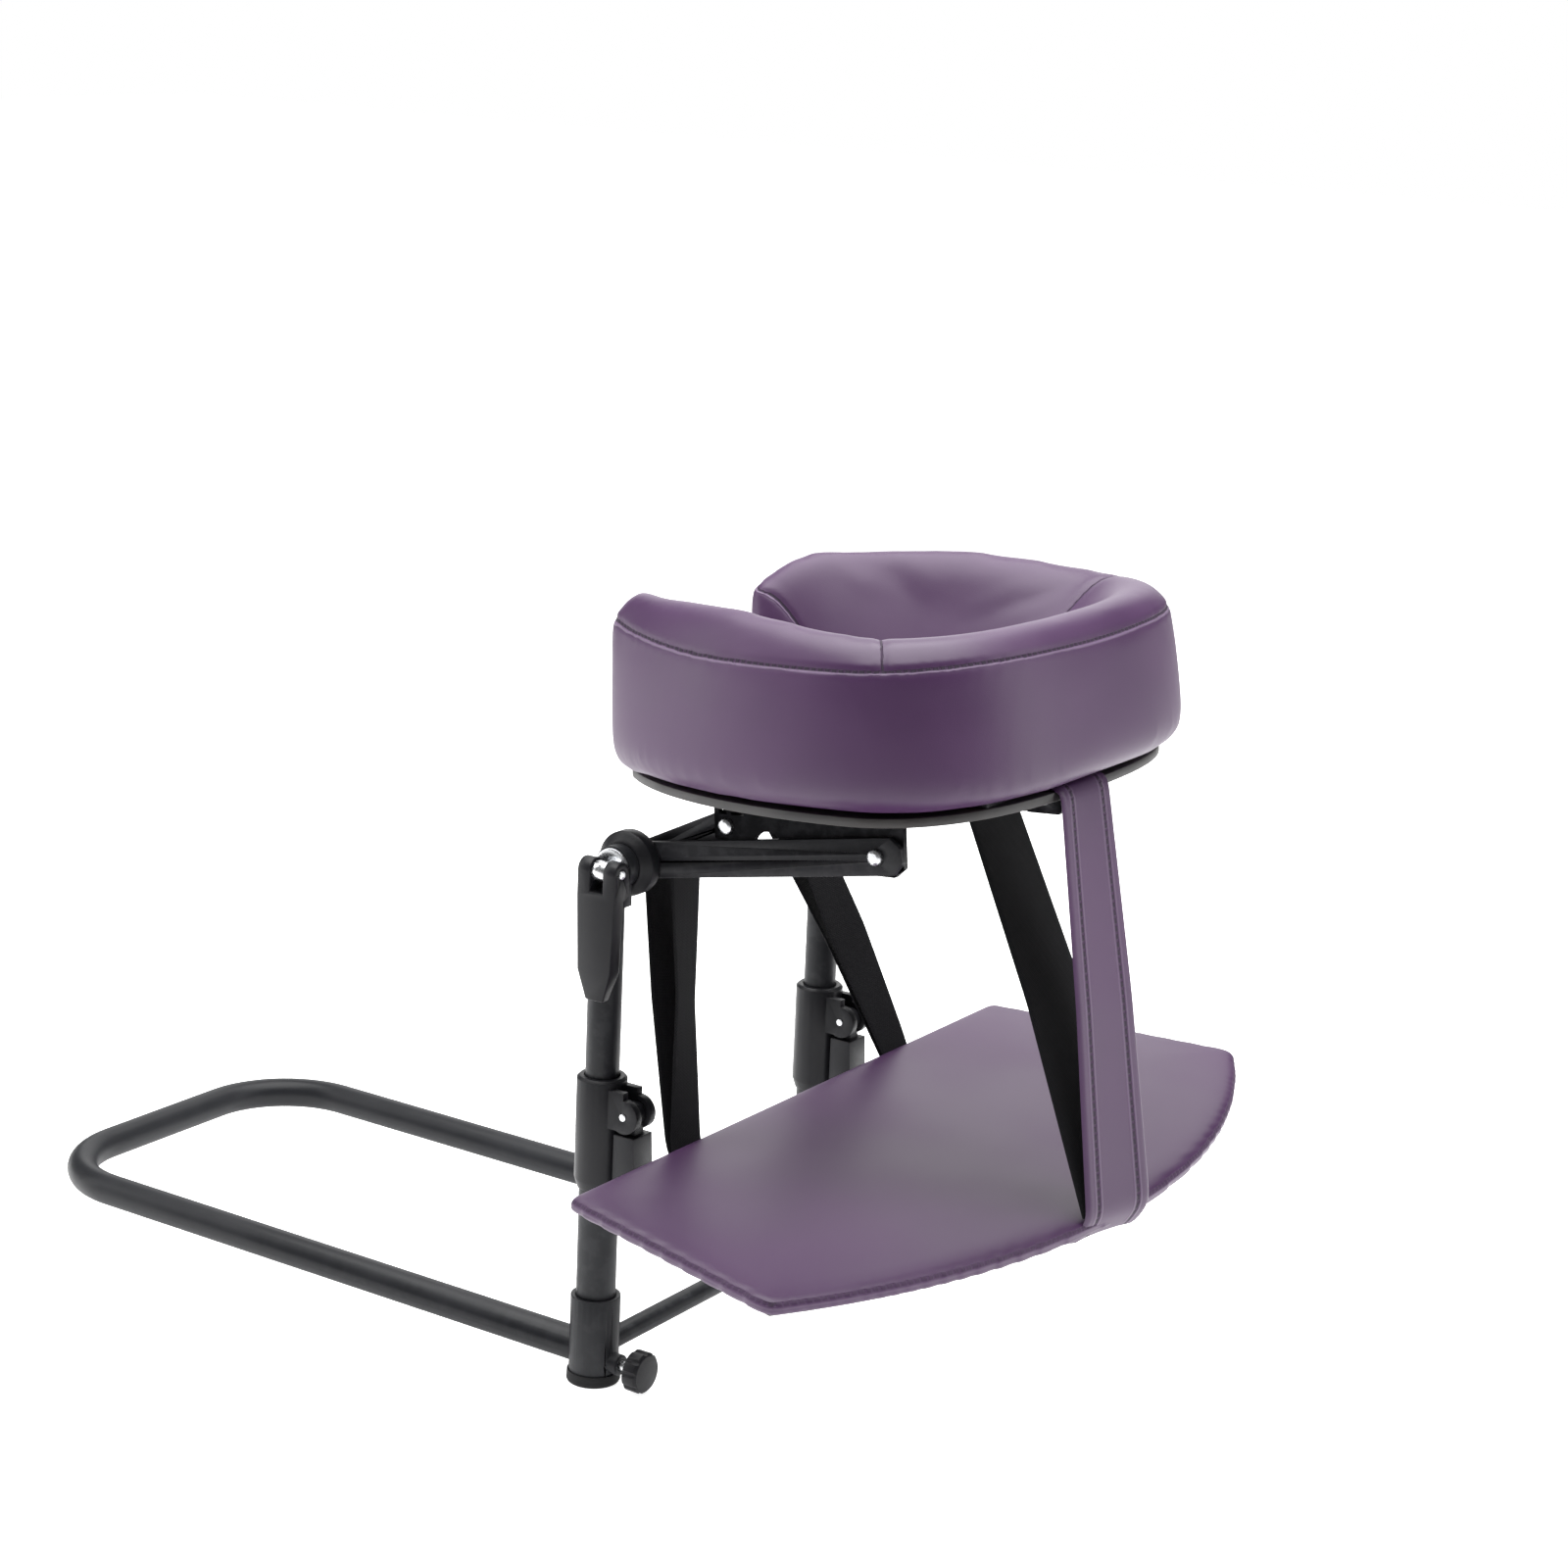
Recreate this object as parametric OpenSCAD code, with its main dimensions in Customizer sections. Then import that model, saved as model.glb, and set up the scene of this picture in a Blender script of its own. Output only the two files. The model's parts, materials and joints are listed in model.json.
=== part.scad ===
// Face cradle cushion on a stand whose base slides under a mattress.
// x = 0 at the two post axes, +X away from the bed, +Y to the far post, floor at z = 0.

/* [Base] */
// Distance between the two post axes
post_gap = 215.5; // [205:0.5:225]
// From the post axes to the centre line of the end rail
base_len = 434; // [350:1:500]
// Outside diameter of the base tube
rail_d = 19; // [16:1:20]
// Centre-line radius of the base tube's corners
rail_bend = 58; // [40:1:75]
// Height of the base tube's centre line
rail_z = 17.2; // [14:0.2:20]
// Outside diameter of the cross tube
cross_d = 12; // [10:1:14]
// Height of the sleeves' top edge
sleeve_top = 51; // [45:1:60]
// Diameter of the lock knobs
knob_d = 23.4; // [20:0.2:25]
// Height of the lock knobs' axis
knob_z = 13; // [12.9:0.1:15]

/* [Posts] */
// Outside diameter of a lower post
lower_d = 22.2; // [22:0.1:23]
// Outside diameter of an upper post
upper_d = 19; // [18:0.5:19]
// Outside diameter of the sleeves and clamp collars
collar_d = 28; // [27:0.5:30]
// Height of the collars' bottom edge
collar_bottom = 115; // [100:1:120]
// Height of the collars' top edge
collar_top = 180; // [175:1:185]

/* [Mechanism] */
// Distance of the pivot rod in front of the post axes
rod_x = 5.5; // [4:0.5:6]
// Height of the pivot rod
rod_z = 299; // [290:1:310]
// Diameter of the pivot rod
rod_d = 8; // [7:0.5:8]
// Diameter of the saddle discs
disc_d = 36; // [32:1:38]
// Length of the cam lever below its pin
cam_len = 71; // [60:1:80]
// Length of a long link between its holes
long_len = 156; // [150:1:160]
// Slope of the long links
long_slope = 11.5; // [10:0.5:12]
// Distance from the rod to the short links' pivot screws
short_len = 63.5; // [62:0.5:65]
// Slope of the short links
short_slope = 27.2; // [26:0.1:28]

/* [Cradle] */
// Slope of the cradle, rising away from the bed
tilt = 5.3; // [4:0.1:6]
// Centre of the cushion's underside, in front of the posts
cradle_x = 122; // [118:1:126]
// Height of that centre
cradle_z = 361; // [359:1:366]
// Reach of the cushion in front of that centre
cushion_front = 125; // [120:1:130]
// Reach of its two arms behind that centre
cushion_rear = 145; // [140:1:160]
// Width of the cushion
cushion_w = 300; // [290:1:305]
// Height of the cushion's side panel
side_h = 74; // [65:1:80]
// Height of the crown above the side panel
crown_h = 20; // [10:1:22]
// Thickness of the platform board
board_t = 5; // [4:0.5:6]

/* [Arm rest] */
// Width of the pad at its outer corners
pad_w = 498; // [480:1:510]
// Width of the pad's inner edge
pad_inner_w = 426; // [400:1:440]
// Depth of the pad at its middle
pad_depth = 221; // [200:1:230]
// Depth of the pad at its outer corners
corner_depth = 151; // [140:1:160]
// Thickness of the pad
pad_t = 11; // [10:0.5:14]
// Position of the pad's inner edge in front of the posts
pad_x = 57; // [55:1:70]
// Height of the pad's inner edge
pad_z = 156; // [150:1:165]
// Slope of the pad, falling away from the bed
pad_slope = 2.3; // [0:0.1:4]
// Width of the front strap
strap_w = 50; // [40:1:55]
// Sideways place of the front strap
strap_y = -22; // [-30:1:30]
// Width of the webbing loops
web_w = 27; // [20:1:30]

/* [Hidden] */

$fn = 48;
eps = 0.01;
run = 0.06;                       // radial clearance of a part that turns or slides in a hole
tube_wall = 1.5;
post_y = post_gap / 2;
collar_r = collar_d / 2;
foot_z = 3;                       // floor thickness of a foot cap
stud_d = 6;
stud_end = 31;                    // outer end of the knob stud
knob_in = 25;                     // inner face of a lock knob
knob_t = 12;
clamp_x = 21;                     // clamp pin, in front of the post axis
clamp_z = collar_top - 18;
ear_gap = 8.5;
ear_t = 4.5;
clamp_pin_d = 4;
head_t = 7;                       // flattened post head
washer_t = 1.5;
disc_t = 12.8;
link_t = 4;
plate_t = 3.5;
gap = 0.1;                        // between plates that turn against each other
cam_t = 13.5;
cam_w = 25;
cam_pin_d = 5;
cam_y = -(head_t / 2 + washer_t + 2 * gap + cam_t / 2);
long_in = head_t / 2 + disc_t + 2 * gap;        // post axis to the long link
plate_in = long_in + link_t + gap;              // post axis to the bracket plate
short_in = plate_in + plate_t + gap;            // post axis to the short link
ring_in = short_in + link_t + gap;
screw_d = 6;
screw_head_d = 9;
slot_half = 9;                    // travel of the rod in the short link's slot, each way
slot_w = 9.4;                     // wider than the rod: the linkage's open pivot
slot_shift = -0.55;
patch_t = 2.8;
cover_t = 1.6;
web_t = 1.6;
strap_t = 2;
arm_board_t = 4;
board_bottom = -board_t - patch_t - 0.2;
board_inset = 13;                               // platform's edge, inside the cushion's
board_front = cushion_front - board_inset;
hole_front = 53;                                // inner strand of the front strap
a_stack = plate_t + gap + link_t + 6;           // screw lengths at the short and long links
b_stack = link_t + gap + plate_t + 6;

B = [rod_x + long_len * cos(long_slope), rod_z + long_len * sin(long_slope)];
A = [rod_x + short_len * cos(short_slope), rod_z + short_len * sin(short_slope)];

// A point of the X-Z plane in the tilted cradle's own axes, and back
function into_cradle(p) = let (d = p - [cradle_x, cradle_z])
    [d[0] * cos(tilt) + d[1] * sin(tilt), -d[0] * sin(tilt) + d[1] * cos(tilt)];
function from_cradle(p) = [cradle_x + p[0] * cos(tilt) - p[1] * sin(tilt),
    cradle_z + p[0] * sin(tilt) + p[1] * cos(tilt)];
function from_pad(p) = [pad_x + p[0] * cos(pad_slope) + p[1] * sin(pad_slope),
    pad_z - p[0] * sin(pad_slope) + p[1] * cos(pad_slope)];

// Edge of the breathing opening: an oval with slightly square shoulders
function opening(off) = [for (i = [0 : 47]) let (c = cos(7.5 * i), s = sin(7.5 * i))
    [-20 + (63 + off) * sign(c) * pow(abs(c), 2 / 2.3),
        (58 + off) * sign(s) * pow(abs(s), 2 / 2.3)]];

module far() { mirror([0, 1, 0]) children(); }
module at_post() { translate([0, -post_y, 0]) children(); }
module at_rod() { translate([rod_x, -post_y, rod_z]) children(); }
module at_cradle() { translate([cradle_x, 0, cradle_z]) rotate([0, -tilt, 0]) children(); }
module at_pad() { translate([pad_x, 0, pad_z]) rotate([0, pad_slope, 0]) children(); }

// Round bar along +Y, starting at y
module y_bar(d, y, len) { translate([0, y, 0]) rotate([-90, 0, 0]) cylinder(d = d, h = len); }
module x_bar(d, x, len) { translate([x, 0, 0]) rotate([0, 90, 0]) cylinder(d = d, h = len); }
module ring(od, id, h) {
    difference() {
        cylinder(d = od, h = h);
        translate([0, 0, -1]) cylinder(d = id, h = h + 2);
    }
}
// Plate in the X-Z plane, from y to y + t
module plate(y, t) { translate([0, y + t, 0]) rotate([90, 0, 0]) linear_extrude(t) children(); }

// ---- base ----
module rail_section() {
    difference() {
        circle(d = rail_d);
        circle(d = rail_d - 2 * tube_wall);
    }
}
module rail_bar(len) { rotate([0, -90, 0]) linear_extrude(len) rail_section(); }
module base_frame() {
    color("dimgray") difference() {
        translate([0, 0, rail_z]) {
            for (s = [-1, 1]) translate([0, s * post_y, 0]) rail_bar(base_len - rail_bend);
            translate([-base_len, post_y - rail_bend, 0]) rotate([0, 0, 90])
                rail_bar(post_gap - 2 * rail_bend);
            translate([rail_bend - base_len, post_y - rail_bend, 0]) rotate([0, 0, 90])
                rotate_extrude(angle = 90) translate([rail_bend, 0]) rail_section();
            translate([rail_bend - base_len, rail_bend - post_y, 0]) rotate([0, 0, 180])
                rotate_extrude(angle = 90) translate([rail_bend, 0]) rail_section();
        }
        for (s = [-1, 1]) translate([0, s * post_y, -1]) cylinder(d = collar_d, h = 60);
    }
}
module cross_tube() {
    color("dimgray") difference() {
        translate([0, -post_y, rail_z + 1]) rotate([-90, 0, 0])
            ring(cross_d, cross_d - 2 * tube_wall, post_gap);
        for (s = [-1, 1]) translate([0, s * post_y, -1]) cylinder(d = collar_d, h = 60);
    }
}
module base_sleeve_near() {
    boss_end = 19;
    color("dimgray") at_post() difference() {
        union() {
            translate([0, 0, foot_z]) cylinder(d = collar_d, h = sleeve_top - foot_z);
            translate([0, 0, knob_z]) x_bar(12, collar_r - 2, boss_end - collar_r + 2);
        }
        cylinder(d = lower_d + 2 * run, h = sleeve_top + 1);
        translate([0, 0, knob_z]) x_bar(stud_d + 2 * run, 5, 20);
    }
}
module base_sleeve_far() { far() base_sleeve_near(); }
module foot_caps() {
    color("black") for (s = [-1, 1]) translate([0, s * post_y, 0])
        rotate_extrude() polygon([[0, 0], [14.6, 0], [15.2, 1.2], [14.8, 6.4], [collar_r, 6.4],
            [collar_r, foot_z], [0, foot_z]]);
}
module lock_knob_near() {
    flutes = 9;
    color("black") translate([0, -post_y, knob_z]) difference() {
        translate([knob_in, 0, 0]) rotate([0, 90, 0]) rotate_extrude()
            polygon([[0, 0], [7, 0], [knob_d / 2, 3], [knob_d / 2, knob_t - 1.5],
                [knob_d / 2 - 1.5, knob_t], [0, knob_t]]);
        x_bar(stud_d, knob_in - 1, stud_end - knob_in + 1);
        for (i = [0 : flutes - 1]) rotate([360 * i / flutes, 0, 0])
            translate([0, 0, knob_d / 2 + 1.1]) x_bar(4.4, knob_in - 1, knob_t + 2);
    }
}
module lock_knob_far() { far() lock_knob_near(); }
module knob_stud_near() {
    start = lower_d / 2 + 0.1;
    color("silver") translate([0, -post_y, knob_z]) x_bar(stud_d, start, stud_end - start);
}
module knob_stud_far() { far() knob_stud_near(); }

// ---- posts ----
module lower_post_near() {
    color("dimgray") at_post() translate([0, 0, foot_z + 0.2])
        ring(lower_d, lower_d - 2.2, collar_top - 8 - foot_z - 0.2);
}
module lower_post_far() { far() lower_post_near(); }
module clamp_collar_near() {
    ear_r = 9.5;
    color("black") at_post() difference() {
        union() {
            rotate_extrude() polygon([[lower_d / 2 - 1, collar_bottom],
                [lower_d / 2 + 1, collar_bottom], [collar_r, collar_bottom + 6],
                [collar_r, collar_top - 1.5], [collar_r - 1.5, collar_top],
                [lower_d / 2 - 1, collar_top]]);
            for (s = [-1, 1]) translate([0, s * (ear_gap + ear_t) / 2, 0]) {
                plate(-ear_t / 2, ear_t) {
                    translate([clamp_x, clamp_z]) circle(ear_r);
                    translate([6, clamp_z - ear_r + 1]) square([clamp_x - 6, 2 * ear_r + 3]);
                }
            }
        }
        translate([0, 0, collar_bottom - 1])
            cylinder(d = lower_d + 0.02, h = collar_top - 8 - collar_bottom + 1);
        cylinder(d = upper_d + 2 * run, h = collar_top + 1);
        translate([clamp_x, 0, clamp_z]) y_bar(clamp_pin_d + 0.02, -15, 30);
        translate([clamp_x - 7.2, -ear_gap / 2, clamp_z - 12])
            cube([20, ear_gap, 24]);
    }
}
module clamp_collar_far() { far() clamp_collar_near(); }
module clamp_pins() {
    half = ear_gap / 2 + ear_t + 0.4;
    color("silver") for (s = [-1, 1])
        translate([clamp_x, s * post_y, clamp_z]) y_bar(clamp_pin_d, -half, 2 * half);
}
module clamp_lever_near() {
    lobe_t = ear_gap - 2 * gap;
    handle_w = ear_gap + 2 * ear_t;
    color("black") at_post() difference() {
        union() {
            plate(-lobe_t / 2, lobe_t) {
                translate([clamp_x, clamp_z]) circle(6.5);
                translate([clamp_x - 5, clamp_z - 16]) square([10, 16]);
            }
            plate(-handle_w / 2, handle_w)
                polygon([[15, clamp_z - 11], [28.5, clamp_z - 11], [29.5, clamp_z - 30],
                    [26, clamp_z - 46], [21, clamp_z - 48], [15, clamp_z - 44]]);
        }
        translate([clamp_x, 0, clamp_z]) y_bar(clamp_pin_d + 2 * run, -15, 30);
    }
}
module clamp_lever_far() { far() clamp_lever_near(); }
module upper_post_near() {
    bottom = collar_top - 112;
    neck = rod_z - 20;
    color("dimgray") at_post() difference() {
        union() {
            translate([0, 0, bottom]) cylinder(d = upper_d, h = neck - bottom);
            plate(-head_t / 2, head_t) {
                translate([rod_x, rod_z]) circle(12);
                translate([-upper_d / 2, neck - 1]) square([upper_d + 4, rod_z - neck + 1]);
            }
        }
        translate([0, 0, bottom - 1]) cylinder(d = upper_d - 2 * tube_wall, h = neck - bottom - 3);
        translate([rod_x, 0, rod_z]) y_bar(rod_d + 2 * run, -10, 20);
    }
}
module upper_post_far() { far() upper_post_near(); }

// ---- clamp at the top of the posts ----
module saddle_disc_near() {
    r = disc_d / 2;
    color("black") at_rod() translate([0, head_t / 2 + gap, 0]) difference() {
        rotate([-90, 0, 0]) rotate_extrude() polygon([[0, 0], [r - 5, 0], [r, 4.5],
            [r, disc_t - 1.5], [r - 1.5, disc_t], [0, disc_t]]);
        y_bar(rod_d + 2 * run, -1, disc_t + 2);
        translate([-rod_x, 0, -r - 1]) cylinder(r = upper_d / 2 - head_t / 2 - gap + 0.6, h = 12);
    }
}
module saddle_disc_far() { far() saddle_disc_near(); }
module cam_washer() {
    color("silver") at_rod() translate([0, -head_t / 2 - gap - washer_t, 0]) rotate([-90, 0, 0])
        ring(22, rod_d + 2 * run, washer_t);
}
module rod_washer() { far() cam_washer(); }
module pivot_rod() {
    eye_w = 8;
    far_end = post_gap + head_t / 2 + washer_t + 10;
    color("silver") at_rod() difference() {
        union() {
            y_bar(rod_d, cam_y, far_end - cam_y);
            translate([0, cam_y, 0]) x_bar(11, -eye_w / 2, eye_w);
        }
        translate([0, cam_y, 0]) x_bar(cam_pin_d + 2 * run, -20, 40);
    }
}
module rod_nut() {
    start = post_gap + head_t / 2 + washer_t + 2 * gap;
    color("silver") at_rod() translate([0, start, 0]) rotate([-90, 0, 0]) difference() {
        cylinder(d = 15, h = 7, $fn = 6);
        translate([0, 0, -1]) cylinder(d = rod_d, h = 9);
    }
}
module rod_rings() {
    color("silver") for (s = [-1, 1]) translate([rod_x, s * (post_y - ring_in - 1), rod_z])
        rotate([s * 90, 0, 0]) translate([0, 0, -1]) ring(14, rod_d + 2 * run, 2);
}
module link_spacers() {
    color("silver") for (s = [-1, 1])
        translate([rod_x, s * (post_y - plate_in - plate_t / 2), rod_z])
        rotate([90, 0, 0]) translate([0, 0, -plate_t / 2]) ring(16, rod_d + 2 * run, plate_t);
}
module cam_lever() {
    ear_r = cam_t / 2;
    slot = 8.6;
    clear = -cam_y + ear_r - upper_d / 2 - 0.3;     // thickness that clears the post
    color("black") at_rod() translate([0, cam_y, 0]) difference() {
        union() {
            x_bar(cam_t, -cam_w / 2, cam_w);
            translate([-cam_w / 2, -ear_r, -13]) cube([cam_w, cam_t, 13]);
            hull() {
                translate([-cam_w / 2, -ear_r, -13]) cube([cam_w, cam_t, 1]);
                translate([-cam_w / 2, -ear_r, -15.4]) cube([cam_w, clear, 1]);
            }
            hull() {
                translate([-cam_w / 2, -ear_r, -15.4]) cube([cam_w, clear, 1]);
                translate([-cam_w / 2 + 1.5, -ear_r, -cam_len + 16]) cube([cam_w - 3, clear, 1]);
                translate([-5, -ear_r, -cam_len]) cube([12, 5, 1]);
            }
        }
        x_bar(cam_pin_d + 0.02, -20, 40);
        translate([-slot / 2, -15, -ear_r - 4]) cube([slot, 30, 40]);
    }
}
module cam_pin() {
    color("silver") at_rod() translate([0, cam_y, 0]) x_bar(cam_pin_d, -cam_w / 2 - 0.3, cam_w + 0.6);
}

// ---- links ----
module long_link_near() {
    w = 20;
    end = 15.5;
    cut = 6;
    color("black") difference() {
        translate([rod_x, 0, rod_z]) rotate([0, -long_slope, 0]) plate(-post_y + long_in, link_t) {
            circle(w / 2);
            polygon([[0, -w / 2], [long_len + end - cut, -w / 2], [long_len + end, -w / 2 + cut],
                [long_len + end, w / 2 - cut], [long_len + end - cut, w / 2], [0, w / 2]]);
        }
        at_rod() y_bar(rod_d + 2 * run, 0, 40);
        translate([B[0], -post_y, B[1]]) y_bar(screw_d + 2 * run, 0, 40);
    }
}
module long_link_far() { far() long_link_near(); }
module short_link_near() {
    w = 18;
    tail = slot_half + rod_d / 2 + 6;
    color("black") difference() {
        translate([rod_x, 0, rod_z]) rotate([0, -short_slope, 0])
            plate(-post_y + short_in, link_t) difference() {
                union() {
                    translate([-tail + 5, -w / 2]) square([short_len + tail - 5, w]);
                    translate([-tail, -w / 2 + 5]) square([6, w - 10]);
                    translate([short_len, 0]) circle(w / 2);
                }
                translate([0, -slot_shift]) {
                    translate([-slot_half, -slot_w / 2]) square([2 * slot_half, slot_w]);
                    for (s = [-1, 1]) translate([s * slot_half, 0]) circle(slot_w / 2);
                }
            }
        translate([A[0], -post_y, A[1]]) y_bar(screw_d + 2 * run, 0, 40);
    }
}
module short_link_far() { far() short_link_near(); }

// ---- cradle ----
// Outline of the cushion: a blunt front, and arms that draw in towards the bed
function cushion_outline(off) = let (wide_x = 35, front = cushion_front - wide_x - off,
    rear = 215 - off, half = cushion_w / 2 - off)
    [for (i = [0 : 89]) let (t = 4 * i, c = cos(t), n = c > 0 ? 2.6 : 2)
    [wide_x + (c > 0 ? front : rear) * sign(c) * pow(abs(c), 2 / n),
        half * sign(sin(t)) * pow(abs(sin(t)), 2 / n)]];
module horseshoe(off = 0) {
    half_gap = 42;
    back = -cushion_rear + off;
    difference() {
        intersection() {
            polygon(cushion_outline(off));
            translate([back, -200]) square([400, 400]);
        }
        polygon(opening(off / 8));
        translate([back - 1, -half_gap - off / 8])
            square([cushion_rear - off - 60, 2 * half_gap + off / 4]);
    }
}
module rounded_horseshoe(off) {
    corner_r = 18;
    offset(r = corner_r) offset(delta = -corner_r - off) horseshoe();
}
module cushion_layers(off) {
    // height of a layer's bottom, its thickness, and how far it stands in
    layers = [[0, side_h, 0], [side_h - eps, crown_h * 0.6, 7],
        [side_h + crown_h * 0.6 - eps, crown_h * 0.4, 18]];
    for (l = layers) translate([0, 0, l[0] == 0 ? off : l[0] - off])
        linear_extrude(l[0] == 0 ? l[1] - 2 * off : l[1]) rounded_horseshoe(l[2] + off);
}
module cushion_cover() {
    color("rebeccapurple") at_cradle() difference() {
        cushion_layers(0);
        cushion_layers(cover_t);
    }
}
module cushion_foam() { color("khaki") at_cradle() cushion_layers(cover_t + 0.1); }
module platform() {
    color("black") at_cradle() difference() {
        translate([0, 0, board_bottom]) linear_extrude(board_t) difference() {
            horseshoe(board_inset);
            translate([0, strap_y - strap_w / 2 - 3]) square([hole_front + 3, strap_w + 6]);
        }
        platform_screw_places() cylinder(d = 4.2, h = 60, center = true);
    }
}
module hook_patches() {
    color("darkslategray") at_cradle() translate([0, 0, -patch_t - 0.1]) for (s = [-1, 1]) {
        translate([-80, s * 92 - 12, 0]) cube([70, 24, patch_t - 0.1]);
        translate([70, s * 72 - 18, 0]) cube([30, 36, patch_t - 0.1]);
    }
}
module platform_screw_places() {
    for (x = [-50, -6, 36], s = [-1, 1]) translate([x, s * 70, 0]) children();
}
module bracket_near() {
    a = into_cradle(A);
    b = into_cradle(B);
    back = a[0] - 8;
    front = b[0] + 14.5;
    low = b[1] - 4;
    flange_t = 3;
    color("black") at_cradle() difference() {
        union() {
            plate(-post_y + plate_in, plate_t) difference() {
                polygon([[back, board_bottom], [front, board_bottom], [front, low - 2],
                    [front - 6, low - 7], [b[0] - 11, low - 7], [b[0] - 22, low],
                    [a[0] + 6, low + 1], [back, a[1] - 7]]);
                translate([a[0] + 26, low]) circle(10);
                for (w = [[3, 5], [11, 8]])
                    translate([back + w[0], board_bottom - 13]) square([w[1], 8]);
            }
            translate([back, -post_y + plate_in, board_bottom - flange_t])
                cube([front - back, 28, flange_t]);
        }
        translate([a[0], 0, a[1]]) y_bar(screw_d + 0.02, -post_y, 60);
        translate([b[0], 0, b[1]]) y_bar(screw_d + 0.02, -post_y, 60);
        platform_screw_places() cylinder(d = 4.2, h = 60, center = true);
    }
}
module bracket_far() { far() bracket_near(); }
module platform_screws() {
    head_z = board_bottom - 3;
    color("silver") at_cradle() platform_screw_places() {
        translate([0, 0, head_z - 2.4]) cylinder(d = 8, h = 2.4);
        translate([0, 0, head_z - 0.5]) cylinder(d = 4.2, h = 3 + board_t);
    }
}
// Screw along +Y with its pan head outside, at y = 0 of the head's seat
module pan_screw(len) {
    rotate([-90, 0, 0]) rotate_extrude() polygon([[0, -3], [2.6, -3], [4, -2.2],
        [screw_head_d / 2, -0.8], [screw_head_d / 2, 0], [screw_d / 2, 0], [screw_d / 2, len], [0, len]]);
}
module pivot_screws() {
    color("silver") for (s = [0, 1]) mirror([0, s, 0]) {
        translate([A[0], -post_y + plate_in - gap / 2, A[1]]) pan_screw(a_stack);
        translate([B[0], -post_y + long_in - gap, B[1]]) pan_screw(b_stack);
    }
}
module nut_at(p, y) {
    translate([p[0], y, p[1]]) rotate([-90, 0, 0]) difference() {
        cylinder(d = 11.5, h = 5, $fn = 6);
        translate([0, 0, -1]) cylinder(d = screw_d, h = 7);
    }
}
module pivot_nuts() {
    color("silver") for (s = [0, 1]) mirror([0, s, 0]) {
        nut_at(A, -post_y + short_in + link_t + gap);
        nut_at(B, -post_y + plate_in + plate_t + gap / 2);
    }
}

// ---- arm rest ----
module pad_outline(inset = 0) {
    sag = pad_depth - corner_depth;
    half = pad_w / 2;
    arc_r = (half * half + sag * sag) / (2 * sag);
    spread = (half - pad_inner_w / 2) / corner_depth * (pad_depth + 10);
    offset(delta = -inset) intersection() {
        translate([pad_depth - arc_r, 0]) circle(arc_r, $fn = 240);
        offset(r = 14) offset(delta = -14) polygon([[0, -pad_inner_w / 2],
            [pad_depth + 10, -pad_inner_w / 2 - spread], [pad_depth + 10, pad_inner_w / 2 + spread],
            [0, pad_inner_w / 2]]);
    }
}
module arm_pad() {
    color("rebeccapurple") at_pad() difference() {
        translate([0, 0, -pad_t]) linear_extrude(pad_t) pad_outline();
        translate([0, 0, -pad_t - 1]) linear_extrude(arm_board_t + 1.1) pad_outline(6);
        strap_screw_places() cylinder(d = 3, h = 6);
    }
}
module strap_screw_places() {
    web_y = post_y - 2;
    for (s = [-1, 1], d = [-7, 7]) translate([14, s * web_y + d, -pad_t]) children();
    for (d = [-14, 0, 14]) translate([pad_depth - 30, strap_y + d, -pad_t]) children();
}
module arm_board() {
    color("black") at_pad() difference() {
        translate([0, 0, -pad_t]) linear_extrude(arm_board_t) pad_outline(6.1);
        strap_screw_places() cylinder(d = 3, h = 20, center = true);
    }
}
module strap_screws() {
    color("silver") at_pad() strap_screw_places() {
        translate([0, 0, -2]) cylinder(d = 8, h = 2);
        translate([0, 0, -1]) cylinder(d = 3, h = 6);
    }
}
// Flat band along a path of the X-Z plane
module band(path, t, w) {
    for (i = [0 : len(path) - 2]) hull()
        for (p = [path[i], path[i + 1]]) translate([p[0], 0, p[1]])
            rotate([90, 0, 0]) cylinder(d = t, h = w, center = true, $fn = 12);
}
module front_strap() {
    color("rebeccapurple") translate([0, strap_y, 0]) band([
        from_pad([pad_depth - 30, 1.5]), from_cradle([hole_front, board_bottom - 2]),
        from_cradle([hole_front, -1.4]), from_cradle([board_front + 2, -1.4]),
        from_cradle([board_front + 2.4, -5]), from_pad([pad_depth + 2.5, -3]),
        from_pad([pad_depth + 2, -pad_t - 3.5])], strap_t, strap_w);
}
module webbing_near() {
    loop_r = 9;
    loop_y = -57;
    pad_y = -post_y + 2;
    top_z = rod_z + rod_d / 2 + 0.3 - loop_r;
    foot = [pad_x - 2, pad_z - pad_t / 2];
    color("black") union() {
        translate([rod_x, loop_y, top_z]) difference() {
            y_bar(2 * (loop_r + web_t), -web_w / 2, web_w);
            y_bar(2 * loop_r, -web_w / 2 - 1, web_w + 2);
            translate([-20, -web_w, -20]) cube([40, 2 * web_w, 20]);
        }
        for (s = [-1, 1]) hull() {
            translate([rod_x + s * (loop_r + web_t / 2) - web_t / 2, loop_y - web_w / 2, top_z])
                cube([web_t, web_w, 0.1]);
            translate([foot[0] - web_t / 2 + s * 0.9 - 0.9, pad_y - web_w / 2, foot[1]])
                cube([web_t, web_w, 0.1]);
        }
    }
}
module webbing_far() { far() webbing_near(); }

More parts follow.
